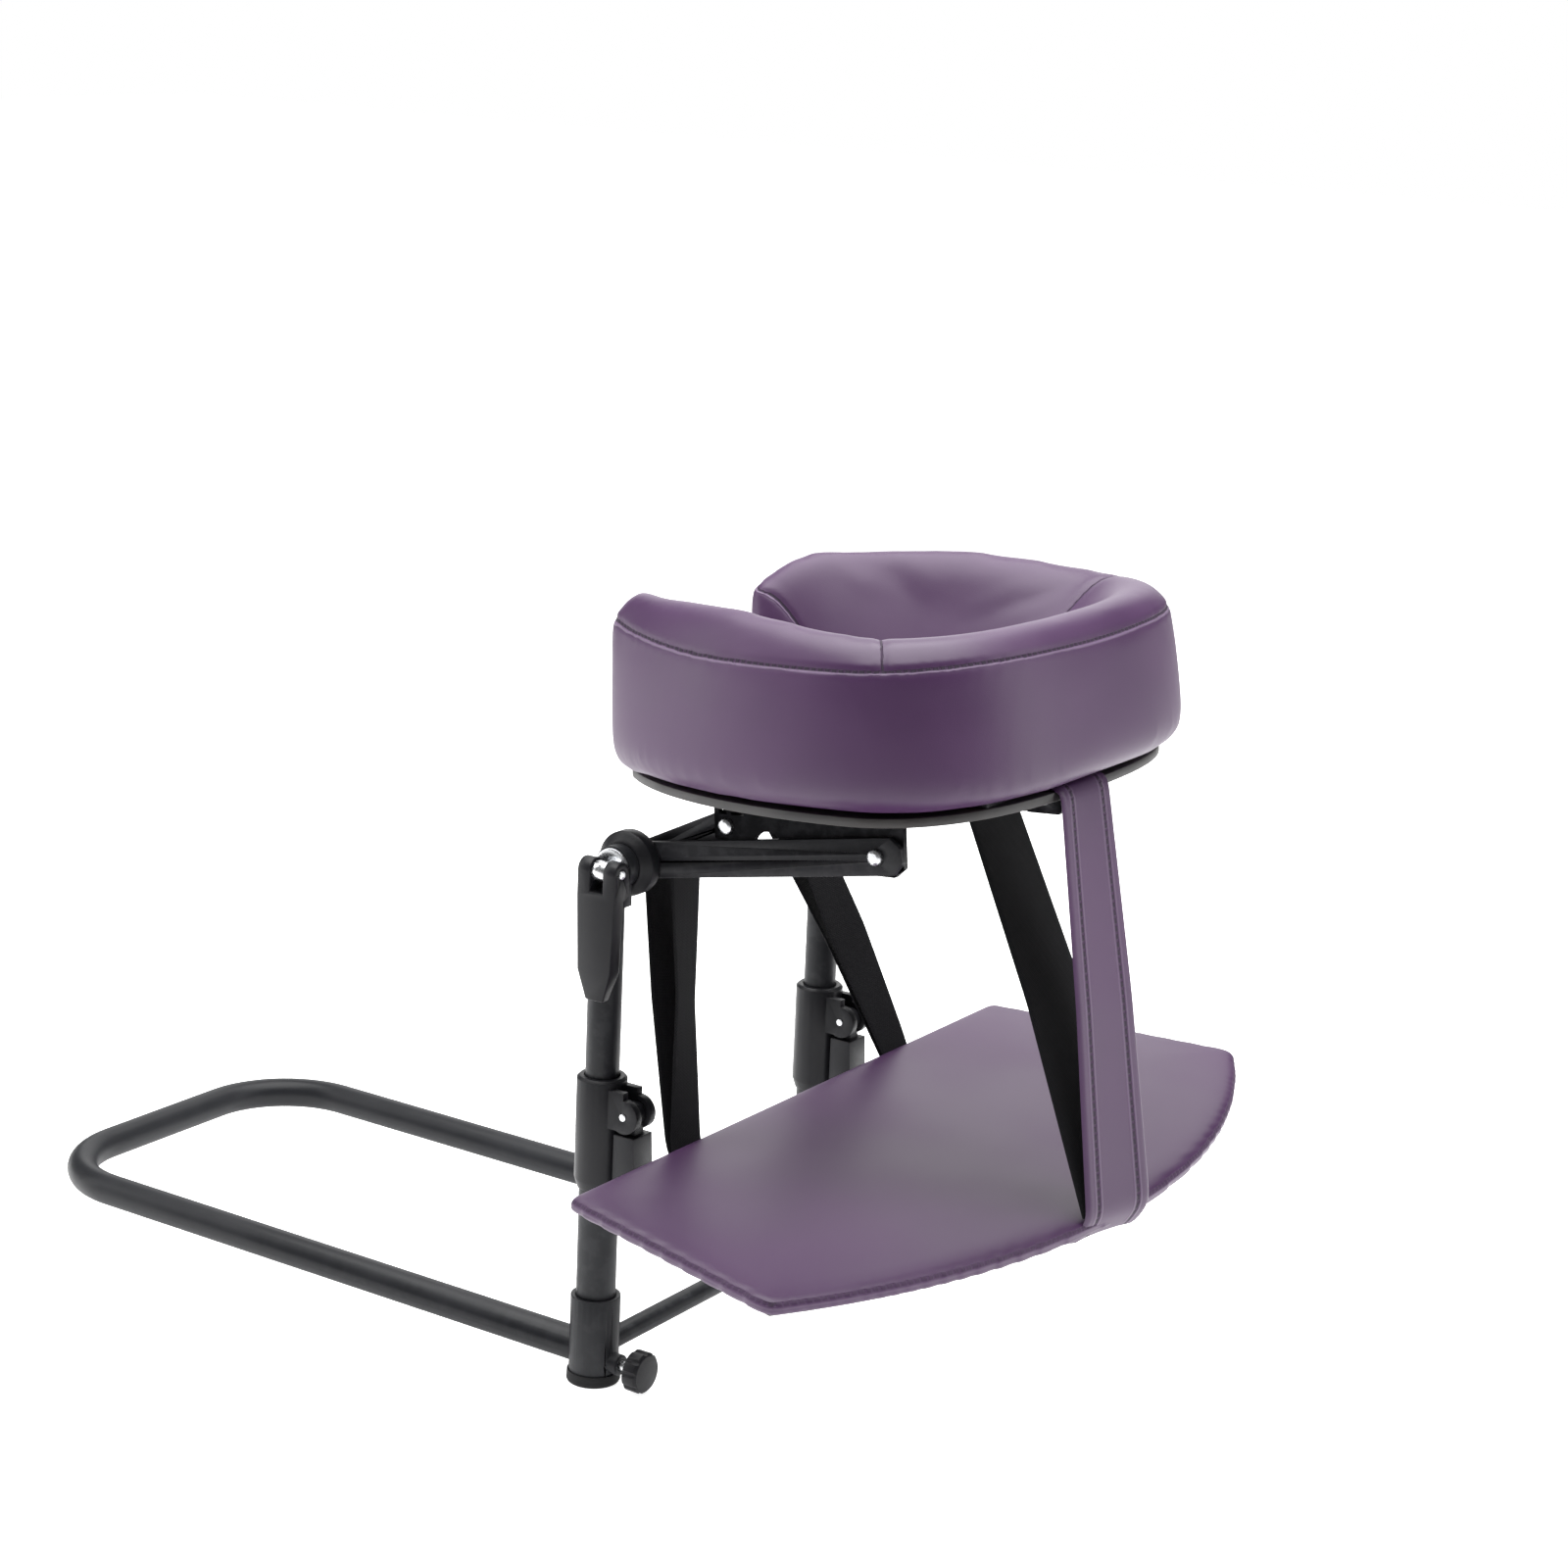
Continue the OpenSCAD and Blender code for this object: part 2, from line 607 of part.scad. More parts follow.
// ---- draw the chosen node ----
base_frame();
cross_tube();
base_sleeve_near();
base_sleeve_far();
foot_caps();
lock_knob_near();
knob_stud_near();
lock_knob_far();
knob_stud_far();
lower_post_near();
lower_post_far();
clamp_collar_near();
clamp_collar_far();
clamp_pins();
clamp_lever_near();
clamp_lever_far();
upper_post_near();
upper_post_far();
saddle_disc_near();
saddle_disc_far();
cam_washer();
rod_washer();
pivot_rod();
rod_nut();
rod_rings();
link_spacers();
cam_lever();
cam_pin();
long_link_near();
long_link_far();
webbing_near();
webbing_far();
bracket_near();
bracket_far();
pivot_screws();
pivot_nuts();
platform();
platform_screws();
hook_patches();
short_link_near();
short_link_far();
cushion_cover();
cushion_foam();
arm_pad();
arm_board();
strap_screws();
front_strap();
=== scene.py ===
import json
import math
import bmesh
import bpy
import numpy as np
from mathutils import Matrix, Vector
from mathutils.kdtree import KDTree


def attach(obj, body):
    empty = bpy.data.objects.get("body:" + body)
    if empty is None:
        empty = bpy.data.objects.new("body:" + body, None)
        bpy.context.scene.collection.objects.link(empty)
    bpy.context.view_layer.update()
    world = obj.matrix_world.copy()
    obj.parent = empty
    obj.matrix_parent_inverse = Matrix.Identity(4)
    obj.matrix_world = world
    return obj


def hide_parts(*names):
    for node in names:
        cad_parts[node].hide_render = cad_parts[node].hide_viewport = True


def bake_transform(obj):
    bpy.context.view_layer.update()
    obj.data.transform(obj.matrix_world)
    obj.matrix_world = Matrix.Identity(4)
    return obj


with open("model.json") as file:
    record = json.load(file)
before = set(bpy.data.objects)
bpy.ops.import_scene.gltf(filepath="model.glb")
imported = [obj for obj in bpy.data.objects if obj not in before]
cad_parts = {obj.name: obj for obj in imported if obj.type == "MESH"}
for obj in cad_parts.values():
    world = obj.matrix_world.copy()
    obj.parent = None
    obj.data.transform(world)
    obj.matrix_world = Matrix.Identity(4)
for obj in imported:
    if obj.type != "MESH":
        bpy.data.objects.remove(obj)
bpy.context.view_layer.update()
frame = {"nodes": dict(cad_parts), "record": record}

CLOTH_FRAMES = 20                                   # length of each cloth simulation
SHARP_BAND = 62                                     # a band's edges that bend more (degrees) look sharp
SHARP_CAD = 28                                      # a CAD piece's edges that bend more are rounded

# Sizes in millimetres and degrees. The carrier's are the same as in part.scad.
CRADLE_X, CRADLE_Z, TILT = 122.0, 361.0, 5.3        # middle of the cushion's underside, its slope
PAD_X, PAD_Z, PAD_SLOPE = 57.0, 156.0, 2.3          # inner edge of the arm rest, its slope
POST_Y, ROD_X, ROD_Z, ROD_R = 107.75, 5.5, 299.0, 4.0       # post axis, pivot rod and its radius
BOARD_BOTTOM, BOARD_FRONT = -8.0, 112.0             # platform, in the cradle's own axes
HOLE_FRONT = 53.0                                   # the front strap's inner strand

# Cushion, in the cradle's own axes: x to the front, z up from its underside
SIDE_H = 74.0                                       # side panel
OPEN_X, OPEN_A, OPEN_B = -20.0, 63.0, 58.0          # breathing opening: centre and half axes
HALF_GAP = 42.0                                     # half of the gap between the arms
FRONT, REAR = 125.0, -144.0                         # front, and the ends of the arms
WIDE_X, HALF_W, REAR_REACH = 35.0, 150.0, 215.0     # widest place, half width, reach of the rear curve
CREST_IN = 23.0                                     # crest, in from the side panel
CREST_H, CREST_REAR = 14.0, 10.5                    # crest over the side panel, and more at the rear
LIP_H = 8.0                                         # height of the opening's edge
TIP_LEN = 36.0                                      # the crest rounds down over this at an arm tip
SINK = 1.2                                          # how far it presses round its hook patches
TAPER = 7.0                                         # the side panel leans in by this at its top
SEAM_ANGLE = 56.7                                   # the two seams across the top, from straight ahead
FLARE, TIP_FLARE = 1.5, 5.5                         # the outer seam over the side panel, more at the tips
CORE_X, CORE_Y = (-120.0, 40.0), 95.0               # middle line of the horseshoe, which the sides lean to
BASE_H, BASE_IN = 13.0, 11.0                        # rounding of the lower edge: its height and its depth
COARSE, FINE = 5.0, 4.2                             # mesh grid before and after shaping

# Arm rest, in its own axes: x outwards from its inner edge, z up from its top
PAD_W, PAD_IN_W, PAD_T = 498.0, 426.0, 11.0         # widest, width at the inner edge, thickness
PAD_DEPTH, CORNER_DEPTH = 221.0, 151.0              # depth in the middle and at the corners
STRAP_W, STRAP_SEAM, WEB_W = 50.0, 15.5, 27.0       # front strap, its stitching, webbing loops
STRAP_T, LINING_T, WEB_T = 2.6, 1.8, 1.6            # their thicknesses
WEB_TOP_Y = 57.0                                    # where the webbing lies on the rod

# Finishes and light
PURPLE, PURPLE_LIGHT = (0.049, 0.018, 0.062), (0.062, 0.025, 0.076)
# the second colour is a painted highlight on the raised lip beside each seam
THREAD, LIP_PAINTED_HIGHLIGHT = (0.018, 0.008, 0.024), (0.34, 0.25, 0.38)
TAPE_BLACK = (0.007, 0.007, 0.008)
STITCH = 4.2                                        # one stitch and the space after it, in mm
AMBIENT, FLOOR_GLOW = 0.18, 0.86                    # light from all round, and the white floor's own


# ---- placing ----
def cradle_frame(p):
    """Points (mm) in the tilted cradle's own axes, as metres in the row frame."""
    p = np.atleast_2d(np.asarray(p, float))
    t = math.radians(TILT)
    x = CRADLE_X + p[:, 0] * math.cos(t) - p[:, 2] * math.sin(t)
    z = CRADLE_Z + p[:, 0] * math.sin(t) + p[:, 2] * math.cos(t)
    return np.c_[x, p[:, 1], z] / 1000.0


def pad_frame(p):
    """Points (mm) in the arm rest's own axes, as metres in the row frame."""
    p = np.atleast_2d(np.asarray(p, float))
    t = math.radians(PAD_SLOPE)
    x = PAD_X + p[:, 0] * math.cos(t) + p[:, 2] * math.sin(t)
    z = PAD_Z - p[:, 0] * math.sin(t) + p[:, 2] * math.cos(t)
    return np.c_[x, p[:, 1], z] / 1000.0


def cradle_xz(x, z):
    q = cradle_frame([[x, 0, z]])[0] * 1000.0
    return q[0], q[2]


def pad_xz(x, z):
    q = pad_frame([[x, 0, z]])[0] * 1000.0
    return q[0], q[2]


# ---- mesh helpers ----
def add_object(name, verts, faces, smooth=True):
    me = bpy.data.meshes.new(name)
    me.from_pydata([tuple(v) for v in verts], [], [tuple(f) for f in faces])
    me.update()
    if smooth:
        me.shade_smooth()
    ob = bpy.data.objects.new(name, me)
    bpy.context.scene.collection.objects.link(ob)
    return ob


def get_co(ob):
    co = np.zeros(len(ob.data.vertices) * 3)
    ob.data.vertices.foreach_get("co", co)
    return co.reshape(-1, 3)


def set_co(ob, co):
    ob.data.vertices.foreach_set("co", np.ascontiguousarray(co, float).ravel())
    ob.data.update()


def vertex_normals(ob):
    n = np.zeros(len(ob.data.vertices) * 3)
    ob.data.vertex_normals.foreach_get("vector", n)
    return n.reshape(-1, 3)


def store(ob, name, values):
    at = ob.data.attributes.new(name, "FLOAT", "POINT")
    at.data.foreach_set("value", np.ascontiguousarray(values, np.float32))


def relax(ob, weight, rounds):
    """Evens out the surface by moving each vertex towards the middle of its neighbours."""
    ends = np.zeros(len(ob.data.edges) * 2, int)
    ob.data.edges.foreach_get("vertices", ends)
    a, b = ends.reshape(-1, 2).T
    co = get_co(ob)
    count = np.bincount(ends, minlength=len(co))
    for _ in range(rounds):
        total = np.zeros_like(co)
        np.add.at(total, a, co[b])
        np.add.at(total, b, co[a])
        co += 0.5 * weight[:, None] * (total / count[:, None] - co)
    set_co(ob, co)


def apply_modifiers(ob):
    dg = bpy.context.evaluated_depsgraph_get()
    me = bpy.data.meshes.new_from_object(ob.evaluated_get(dg))
    old = ob.data
    ob.modifiers.clear()
    ob.data = me
    bpy.data.meshes.remove(old)
    me.shade_smooth()


def remesh(ob, size):
    m = ob.modifiers.new("remesh", "REMESH")
    m.mode = "VOXEL"
    m.voxel_size = size
    apply_modifiers(ob)


def smooth_closed(pts, step, sigma):
    """A closed line at even spacing, with its corners rounded."""
    p = np.r_[pts, pts[:1]]
    s = np.r_[0, np.cumsum(np.hypot(*np.diff(p, axis=0).T))]
    n = int(s[-1] / step)
    t = np.linspace(0, s[-1], n, endpoint=False)
    q = np.c_[np.interp(t, s, p[:, 0]), np.interp(t, s, p[:, 1])]
    k = np.fft.fftfreq(n, step)
    low = np.exp(-2 * (math.pi * k * sigma) ** 2)
    return np.real(np.fft.ifft(np.fft.fft(q, axis=0) * low[:, None], axis=0))


def to_line(p, line):
    """Distance from each point to an open line, and how far along the line it lies."""
    a = line[:-1]
    d = np.diff(line, axis=0)
    ln = np.hypot(*d.T)
    start = np.r_[0, np.cumsum(ln)[:-1]]
    best = np.full(len(p), 1e9)
    along = np.zeros(len(p))
    for i in range(len(a)):
        t = np.clip(((p - a[i]) @ d[i]) / ln[i] ** 2, 0, 1)
        q = a[i] + t[:, None] * d[i]
        e = np.hypot(*(p - q).T)
        m = e < best
        best[m] = e[m]
        along[m] = start[i] + t[m] * ln[i]
    return best, along


def prism(name, ring, low, high):
    """A closed outline (mm) between two heights, in millimetres for now."""
    bm = bmesh.new()
    base = [bm.verts.new((x, y, low)) for x, y in ring]
    face = bm.faces.new(base)
    top = bmesh.ops.extrude_face_region(bm, geom=[face])
    moved = [v for v in top["geom"] if isinstance(v, bmesh.types.BMVert)]
    bmesh.ops.translate(bm, verts=moved, vec=(0, 0, high - low))
    bmesh.ops.triangulate(bm, faces=bm.faces[:])
    bmesh.ops.recalc_face_normals(bm, faces=bm.faces[:])
    me = bpy.data.meshes.new(name)
    bm.to_mesh(me)
    bm.free()
    ob = bpy.data.objects.new(name, me)
    bpy.context.scene.collection.objects.link(ob)
    return ob


def inflate(ob, held, cap, pressure=4.0):
    """Lets the cover fill out under pressure; held is how firmly each vertex stays put."""
    start = get_co(ob)
    group = ob.vertex_groups.new(name="held")
    for level in range(1, 11):
        ids = np.nonzero(np.round(held * 10) == level)[0]
        if len(ids):
            group.add(ids.tolist(), level / 10, "REPLACE")
    mod = ob.modifiers.new("cloth", "CLOTH")
    s = mod.settings
    s.quality = 6
    s.mass = 0.4
    s.tension_stiffness = 25
    s.compression_stiffness = 25
    s.shear_stiffness = 12
    s.bending_stiffness = 1.2
    s.use_pressure = True
    s.uniform_pressure_force = pressure
    s.vertex_group_mass = "held"
    s.pin_stiffness = 4
    s.effector_weights.gravity = 0
    mod.collision_settings.use_collision = False
    scene = bpy.context.scene
    for f in range(1, CLOTH_FRAMES + 1):
        scene.frame_set(f)
    apply_modifiers(ob)
    scene.frame_set(1)
    ob.vertex_groups.clear()
    move = get_co(ob) - start
    far = np.linalg.norm(move, axis=1)
    shrink = np.minimum(1.0, cap / np.maximum(far, 1e-9))
    set_co(ob, start + move * shrink[:, None])


def subdivide(ob):
    m = ob.modifiers.new("sub", "SUBSURF")
    m.levels = 1
    m.render_levels = 1
    apply_modifiers(ob)


# ---- the cushion ----
def squared(v, n):
    """Turns a sine or cosine into a superellipse's; n is 2 for an ellipse, and more for squarer."""
    return np.sign(v) * np.abs(v) ** (2 / n)


def outer_arc():
    """Outer edge of the horseshoe, from the near arm's end round the front to the far arm's."""
    t = np.radians(np.arange(-180, 180.1, 1.5))
    c, s = np.cos(t), np.sin(t)
    n = np.where(c > 0, 2.6, 2.0)
    reach = np.where(c > 0, FRONT - WIDE_X, REAR_REACH)
    x = WIDE_X + reach * squared(c, n)
    y = HALF_W * squared(s, n)
    keep = x > REAR
    return np.c_[x[keep], y[keep]]


def inner_arc():
    """Edge of the opening, from the far arm's gap side to the near arm's."""
    t = np.radians(np.arange(0, 360, 4))
    c, s = np.cos(t), np.sin(t)
    x = OPEN_X + OPEN_A * squared(c, 2.3)
    y = OPEN_B * squared(s, 2.3)
    far = (s >= 0) & ((c > 0) | (y > HALF_GAP))
    near = (s < 0) & ((c > 0) | (y < -HALF_GAP))
    upper = np.c_[x[far], y[far]]
    lower = np.c_[x[near], y[near]]
    upper = upper[np.argsort(upper[:, 0] - 1e-3 * upper[:, 1])]
    lower = lower[np.argsort(-lower[:, 0] - 1e-3 * lower[:, 1])]
    return np.r_[upper, lower]


def horseshoe_ring():
    """The cushion's closed outline, its corners at the arm tips rounded."""
    ring = np.r_[[[REAR, -HALF_GAP]], outer_arc(), [[REAR, HALF_GAP]], inner_arc()]
    return smooth_closed(ring, step=2.5, sigma=10.0)


def split_ring(ring, turn):
    """The outer and the inner part of the closed outline, as open lines that meet near x = turn."""
    x, y = ring.T
    inner = (np.abs(y) < OPEN_B + 4) & (x < OPEN_X + OPEN_A + 8) & (x > turn)
    first = np.nonzero(inner & ~np.roll(inner, 1))[0][0]
    order = np.roll(np.arange(len(ring)), -first)
    flag = inner[order]
    count = int(flag.sum())
    return ring[order[count - 1:]], ring[order[:count + 1]]


def ease(u):
    """0 to 1, with a soft start and then nearly straight."""
    u = np.clip(u, 0, 1)
    return 1.25 * u * u / (u + 0.25)


def ramp(x, a, b):
    """0 below a, 1 above b, and smooth between them."""
    u = np.clip((x - a) / (b - a), 0, 1)
    return u * u * (3 - 2 * u)


def side_height(x):
    """Height of the outer seam, which stands a little higher at the arm tips."""
    return SIDE_H + FLARE + TIP_FLARE * (1 - ramp(x, -140.0, -30.0))


def top_height(x, d_out, d_in):
    """Height of the top panel, from the distances to the outer seam and to the opening."""
    side = side_height(x)
    tip = 1 - (1 - np.clip((x - REAR) / TIP_LEN, 0, 1)) ** 2
    crown = (SIDE_H + CREST_H + CREST_REAR * (1 - ramp(x, -40.0, 60.0)) - side) * tip
    crest = side + crown
    edge = LIP_H + (side - LIP_H) * (1 - ramp(x, REAR, REAR + 55.0))
    width = np.maximum(d_out + d_in, 1.0)
    mid = np.clip(CREST_IN / width, 0.22, 0.42)
    t = d_out / width
    rise = side + crown * (1 - (1 - np.clip(t / mid, 0, 1)) ** 2)
    fall = crest - (crest - edge) * ease((t - mid) / (1 - mid))
    return np.where(t < mid, rise, fall)


def shape_cushion(ob, outer, inner):
    """Crowns the top, slopes it into the opening and tapers the side panel."""
    co = get_co(ob)
    xy = co[:, :2]
    d_out = to_line(xy, outer)[0]
    d_in = to_line(xy, inner)[0]
    z = co[:, 2] / SIDE_H
    full = top_height(xy[:, 0], d_out, d_in)
    height = z * (full + SINK) - SINK
    side = np.where(np.abs(xy[:, 1]) > 1, np.sign(xy[:, 1]), 0)
    core = np.c_[np.clip(xy[:, 0], *CORE_X), side * CORE_Y * np.clip((60 - xy[:, 0]) / 60, 0, 1)]
    inward = core - xy
    inward /= np.maximum(np.hypot(*inward.T), 1e-6)[:, None]
    taper = TAPER * z ** 1.5 + 1.5 * (1 - np.clip(z / 0.25, 0, 1)) ** 2
    low = np.clip(1 - (height + SINK) / BASE_H, 0, 1)
    taper = taper + BASE_IN * (1 - np.sqrt(np.maximum(1 - low ** 2, 0)))
    fade = np.clip(1 - d_out / 45.0, 0, 1)
    co[:, :2] += inward * (taper * fade)[:, None]
    co[:, 2] = height
    set_co(ob, co)


def cushion_marks(ob, outer, inner):
    """Signed distances (mm) from the seams, for the pinch and for the stitching in the finish."""
    co = get_co(ob)
    d_out, along = to_line(co[:, :2], outer)
    d_in = to_line(co[:, :2], inner)[0]
    ring = (co[:, 2] - side_height(co[:, 0])) + 1.4 * np.maximum(d_out - 5.0, 0)
    angle = math.radians(SEAM_ANGLE)
    spoke = (co[:, 0] - OPEN_X) * math.sin(angle) - np.abs(co[:, 1]) * math.cos(angle)
    return ring, spoke, along, d_in


def make_cushion():
    """A prism is shaped, filled out as cloth, and drawn in along its seams."""
    ring = horseshoe_ring()
    ob = prism("cushion_leather", ring, 0.0, SIDE_H)
    remesh(ob, COARSE)
    shape_cushion(ob, *split_ring(ring, REAR - 10.0))
    remesh(ob, FINE)
    seams = split_ring(ring, REAR + 20.0)
    relax(ob, ramp(cushion_marks(ob, *seams)[0], 0.0, 9.0), 16)
    ring_mark, spoke, along, d_in = cushion_marks(ob, *seams)
    underside = np.where(get_co(ob)[:, 2] < 2, 1.0, 0.0)
    wall = 1 - ramp(d_in, 8.0, 42.0)
    outer_seam = 0.8 * np.exp(-(ring_mark / 4.0) ** 2)
    cross_seams = np.where(ring_mark > 0, 0.6 * np.exp(-(spoke / 4.0) ** 2), 0)
    held = np.maximum.reduce([underside, wall, outer_seam, cross_seams])
    set_co(ob, get_co(ob) / 1000.0)
    inflate(ob, held, 0.004)
    set_co(ob, get_co(ob) * 1000.0)
    relax(ob, ramp(np.abs(ring_mark), 2.0, 8.0), 5)
    store(ob, "ring", ring_mark)
    store(ob, "spoke", spoke)
    store(ob, "along", along)
    subdivide(ob)
    pinch_cushion(ob)
    set_co(ob, cradle_frame(get_co(ob)))
    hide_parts("cushion_cover", "cushion_foam")
    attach(ob, "cushion")
    return ob


def read(ob, name):
    out = np.zeros(len(ob.data.vertices), np.float32)
    ob.data.attributes[name].data.foreach_get("value", out)
    return out


def pinch_cushion(ob):
    """Draws the cover in along its seams, and lets it wander a little like a real cover."""
    co = get_co(ob)
    n = vertex_normals(ob)
    ring = read(ob, "ring")
    spoke = read(ob, "spoke")
    along = read(ob, "along")
    depth = 1.1 * np.exp(-(ring / 2.6) ** 2)
    depth += np.exp(-(spoke / 2.4) ** 2) * np.clip(ring / 3, 0, 1)
    puff = 0.35 * np.sin(along / 23.0) * np.exp(-((ring + 9) / 9.0) ** 2)
    slack = 0.3 * np.sin(along / 41.0 + 1.0) * np.exp(-((ring + 40) / 22.0) ** 2)
    set_co(ob, co + n * (puff + slack - depth)[:, None])


# ---- the arm rest ----
def pad_ring():
    """Outline of the arm rest: a wide arc in front, straight slanted ends and a straight inner edge."""
    half = PAD_W / 2
    sag = PAD_DEPTH - CORNER_DEPTH
    r = (half * half + sag * sag) / (2 * sag)
    reach = math.degrees(math.asin(half / r))
    t = np.radians(np.linspace(-reach, reach, 60))
    arc = np.c_[PAD_DEPTH - r + r * np.cos(t), r * np.sin(t)]
    ends = np.array([[0.0, PAD_IN_W / 2], [0.0, -PAD_IN_W / 2]])
    return smooth_closed(np.r_[arc, ends], step=2.5, sigma=4.5)


def make_pad():
    """A thin board's cover, filled out a little as cloth."""
    ring = pad_ring()
    ob = prism("arm_pad_leather", ring, -PAD_T + 1.0, -1.0)
    remesh(ob, 3.6)
    line = np.r_[ring, ring[:1]]
    co = get_co(ob)
    d, along = to_line(co[:, :2], line)
    z = (co[:, 2] + PAD_T / 2) / (PAD_T / 2)
    rise = 1.6 * ramp(d, 0.0, 55.0) * (z > 0) + 1.0 * ramp(d, 0, 14)
    co[:, 2] += rise * np.clip(z, -0.2, 1)
    set_co(ob, co / 1000.0)
    held = np.where(co[:, 2] < -PAD_T + 2.0, 1.0, 0.1)
    inflate(ob, held, 0.0018, 3.0)
    store(ob, "ring", co[:, 2] + 2.6 + np.where(z > 0, 1.2, 0.0) * np.maximum(d - 1.5, 0))
    store(ob, "along", along)
    store(ob, "spoke", np.full(len(co), 100.0))
    subdivide(ob)
    set_co(ob, pad_frame(get_co(ob) * 1000.0))
    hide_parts("arm_pad")
    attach(ob, "arm_pad")
    return ob


# ---- bands: straps and webbing ----
def smooth_path(path, step, sigma):
    """An open side-view line at even spacing with soft bends; its two ends stay put."""
    p = np.asarray(path, float)
    s = np.r_[0, np.cumsum(np.linalg.norm(np.diff(p, axis=0), axis=1))]
    n = max(8, int(s[-1] / step))
    t = np.linspace(0, s[-1], n)
    q = np.stack([np.interp(t, s, p[:, k]) for k in range(p.shape[1])], axis=1)
    w = int(3 * sigma / step) + 1
    kern = np.exp(-0.5 * (np.arange(-w, w + 1) * step / sigma) ** 2)
    kern /= kern.sum()
    ext = np.r_[2 * q[:1] - q[w:0:-1], q, 2 * q[-1:] - q[-2:-w - 2:-1]]
    out = np.stack([np.convolve(ext[:, k], kern, "valid") for k in range(p.shape[1])], axis=1)
    return out, t


def band(name, path, width, thick, step=3.0, sigma=4.0, crown=0.0, cut=None):
    """A flat band along path: rows are (x, y, z, twist in degrees about the vertical), in mm.

    crown bows its middle outwards, and cut keeps only the stretch between two rows of the path."""
    q, along = smooth_path(path, step, sigma)
    if cut:
        at = np.r_[0, np.cumsum(np.linalg.norm(np.diff(np.asarray(path, float), axis=0), axis=1))]
        first, last = (int(np.argmin(np.abs(along - at[k]))) for k in cut)
    tan = np.gradient(q[:, :3], axis=0)
    tan /= np.linalg.norm(tan, axis=1)[:, None]
    a = np.radians(q[:, 3])
    wide = np.c_[np.sin(a), np.cos(a), np.zeros(len(a))]
    wide -= (wide * tan).sum(1)[:, None] * tan
    wide /= np.linalg.norm(wide, axis=1)[:, None]
    out = np.cross(wide, tan)
    if cut:
        q, along, wide, out = (v[first:last + 1] for v in (q, along, wide, out))
    half, h = width / 2, thick / 2
    points = 25
    across = np.concatenate([np.linspace(-half, half, points), np.linspace(half, -half, points)])
    rounding = 0.4 * thick + 0.6
    edge = np.clip((half - np.abs(across)) / rounding, 0, 1)
    face = np.r_[np.ones(points), -np.ones(points)]
    lift = face * h * np.sqrt(np.maximum(1 - (1 - edge) ** 2, 0)) + crown * (1 - (across / half) ** 2)
    pts = q[:, None, :3] + wide[:, None] * across[None, :, None] + out[:, None] * lift[None, :, None]
    n, m = pts.shape[:2]
    faces = []
    for i in range(n - 1):
        for k in range(m):
            e = (k + 1) % m
            faces.append((i * m + k, i * m + e, (i + 1) * m + e, (i + 1) * m + k))
    faces.append(tuple(range(m)))
    faces.append(tuple((n - 1) * m + k for k in reversed(range(m))))
    ob = add_object(name, pts.reshape(-1, 3) / 1000.0, faces)
    bm = bmesh.new()
    bm.from_mesh(ob.data)
    bmesh.ops.remove_doubles(bm, verts=bm.verts, dist=1e-6)
    bmesh.ops.recalc_face_normals(bm, faces=bm.faces[:])
    bm.to_mesh(ob.data)
    bm.free()
    co = get_co(ob) * 1000.0
    flat = pts.reshape(-1, 3)
    near = nearest(co, flat)
    store(ob, "across", np.tile(across, n)[near])
    store(ob, "along", np.repeat(along, m)[near])
    ob.data.shade_smooth()
    ob.data.set_sharp_from_angle(angle=math.radians(SHARP_BAND))
    return ob


def nearest(points, pool):
    """For each point, the index of the nearest one in pool."""
    tree = KDTree(len(pool))
    for i, p in enumerate(pool):
        tree.insert(p, i)
    tree.balance()
    return np.array([tree.find(p)[1] for p in points])


def lerp(a, b, t):
    return [u + (v - u) * t for u, v in zip(a, b)]


def strap_path():
    """The loop's rows: up from the pad, over the platform's bar, down and round the pad's lip.

    The small numbers are how far the strap's middle lies off each face."""
    top_y, foot_y, foot_twist, tail_len = -15.0, -29.0, 13.0, 42.0

    def row(p, f):
        return [p[0], top_y + (foot_y - top_y) * f, p[1], foot_twist * f]

    inner_foot = row(pad_xz(PAD_DEPTH - 0.8, 2.2), 1.0)
    inner_top = row(cradle_xz(HOLE_FRONT, BOARD_BOTTOM + 1), 0.0)
    inner_mid = lerp(inner_foot, inner_top, 0.5)
    inner_mid[0] += 4.0
    over = [row(cradle_xz(HOLE_FRONT, -1.6), 0.0), row(cradle_xz(BOARD_FRONT + 1.6, -1.6), 0.0)]
    front_top = row(cradle_xz(BOARD_FRONT + 2.4, BOARD_BOTTOM + 1), 0.0)
    front_foot = row(pad_xz(PAD_DEPTH + 2.2, 1.0), 1.0)
    front_mid = lerp(front_top, front_foot, 0.5)
    front_mid[0] += 1.5
    under = row(pad_xz(PAD_DEPTH - 6, -PAD_T - 2.6), 1.0)
    tail = row(pad_xz(PAD_DEPTH - tail_len, -PAD_T - 2.0), 1.0)
    return [inner_foot, inner_mid, inner_top, *over, front_top, front_mid, front_foot, under, tail]


